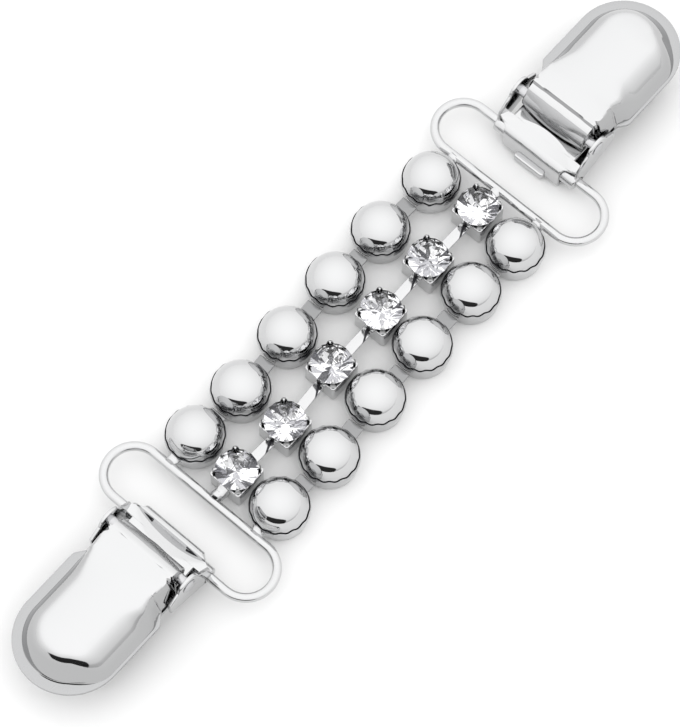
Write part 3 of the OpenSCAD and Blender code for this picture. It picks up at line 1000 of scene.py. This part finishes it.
for end, letter in ((-1, "a"), (1, "b")):
    shape = Shape()
    add_cover(shape, -end)
    add_knuckle(shape)
    piece(f"lever_cover_{letter}", shape, [cover_metal, shaded_satin_metal], f"cover_{letter}",
          [f"lever_{letter}"], end)

# Stage, light and camera

FLOOR_HALF = 1.5
FLOOR_GAP = 0.02 * MM
FLOOR_GREY = 0.82


def add_floor():
    """A plain pale floor, just under the part."""
    size = FLOOR_HALF
    data = bpy.data.meshes.new("floor")
    data.from_pydata([(-size, -size, 0), (size, -size, 0), (size, size, 0), (-size, size, 0)], [],
                     [(0, 1, 2, 3)])
    material, nodes = new_material("pale_floor")[:2]
    shader = nodes["Principled BSDF"]
    shader.inputs["Base Color"].default_value = (FLOOR_GREY, FLOOR_GREY, FLOOR_GREY, 1)
    shader.inputs["Roughness"].default_value = 0.9
    shader.inputs["Specular IOR Level"].default_value = 0.0
    data.materials.append(material)
    floor = bpy.data.objects.new("floor", data)
    floor.location.z = -FLOOR_GAP
    bpy.context.scene.collection.objects.link(floor)


def math_node(nodes, links, operation, a, b=None, clamp=False):
    """A Math node on numbers or sockets. Returns its output."""
    node = nodes.new("ShaderNodeMath")
    node.operation = operation
    node.use_clamp = clamp
    for socket, value in zip(node.inputs, (a, b)):
        if value is None:
            continue
        if isinstance(value, (int, float)):
            socket.default_value = value
        else:
            links.new(value, socket)
    return node.outputs[0]


VIEW_AZIMUTH = radians(-48.88)
VIEW_ELEVATION = radians(68)
VIEW_TARGET = Vector((-3.13, 0.50, 0)) * MM
VIEW_DISTANCE = 450 * MM
LENS = 175.45
SENSOR_WIDTH = 36
CLOSEST = 0.01

LIGHT_LEVEL = 1.25
OVERHEAD_LIGHT = 0.35
NEAR_SHADE = 0.28
# Across and up, each with half its size, then the depth and the firmness of a dark strip
DARK_STRIPS = ((-0.20, 0.55, 0.14, 0.22, 0.97, 6.0), (0.45, 0.60, 0.03, 0.10, 0.25, 1.2))


def add_light():
    """A soft white surround: brighter overhead, dimmer low in front, and there one firm and one faint
    dark strip, which the polished metal shows."""
    world = bpy.data.worlds.new("studio")
    world.use_nodes = True
    bpy.context.scene.world = world
    nodes, links = world.node_tree.nodes, world.node_tree.links
    place = nodes.new("ShaderNodeTexCoord")

    def along(direction):
        dot = nodes.new("ShaderNodeVectorMath")
        dot.operation = "DOT_PRODUCT"
        dot.inputs[1].default_value = direction
        links.new(place.outputs["Generated"], dot.inputs[0])
        return dot.outputs["Value"]

    def calc(operation, a, b=None, clamp=False):
        return math_node(nodes, links, operation, a, b, clamp)

    front = (sin(VIEW_AZIMUTH), -cos(VIEW_AZIMUTH), 0)
    right = (cos(VIEW_AZIMUTH), sin(VIEW_AZIMUTH), 0)
    height = along((0, 0, 1))
    forward = along(front)
    across = along(right)
    level = calc("ADD", calc("MULTIPLY", height, OVERHEAD_LIGHT), LIGHT_LEVEL)
    near_low = calc("MULTIPLY", calc("MAXIMUM", forward, 0.0), calc("SUBTRACT", 1.0, height))
    level = calc("SUBTRACT", level, calc("MULTIPLY", calc("POWER", near_low, 2.0), NEAR_SHADE))
    for centre, half, tall_at, tall_half, depth, firm in DARK_STRIPS:
        offset = calc("DIVIDE", calc("SUBTRACT", across, centre), half)
        tall = calc("DIVIDE", calc("SUBTRACT", height, tall_at), tall_half)
        ellipse = calc("ADD", calc("MULTIPLY", offset, offset), calc("MULTIPLY", tall, tall))
        strip = calc("MULTIPLY", calc("SUBTRACT", 1.2, ellipse), firm, True)
        strip = calc("MULTIPLY", strip, calc("GREATER_THAN", forward, 0.0))
        level = calc("MULTIPLY", level, calc("SUBTRACT", 1.0, calc("MULTIPLY", strip, depth)))
    background = nodes["Background"]
    links.new(level, background.inputs["Strength"])
    background.inputs["Color"].default_value = (1, 1, 1, 1)


def add_camera():
    """The camera at the photograph's angle."""
    data = bpy.data.cameras.new("camera")
    camera = bpy.data.objects.new("camera", data)
    towards = Vector((sin(VIEW_AZIMUTH) * cos(VIEW_ELEVATION), -cos(VIEW_AZIMUTH) * cos(VIEW_ELEVATION),
                      sin(VIEW_ELEVATION)))
    camera.location = VIEW_TARGET + towards * VIEW_DISTANCE
    camera.rotation_mode = "QUATERNION"
    camera.rotation_quaternion = towards.to_track_quat("Z", "Y")
    data.sensor_width = SENSOR_WIDTH
    data.sensor_fit = "HORIZONTAL"
    data.lens = LENS
    data.clip_start = CLOSEST
    bpy.context.scene.collection.objects.link(camera)
    bpy.context.scene.camera = camera


add_floor()
add_light()
add_camera()
bpy.context.scene.view_settings.view_transform = "Standard"
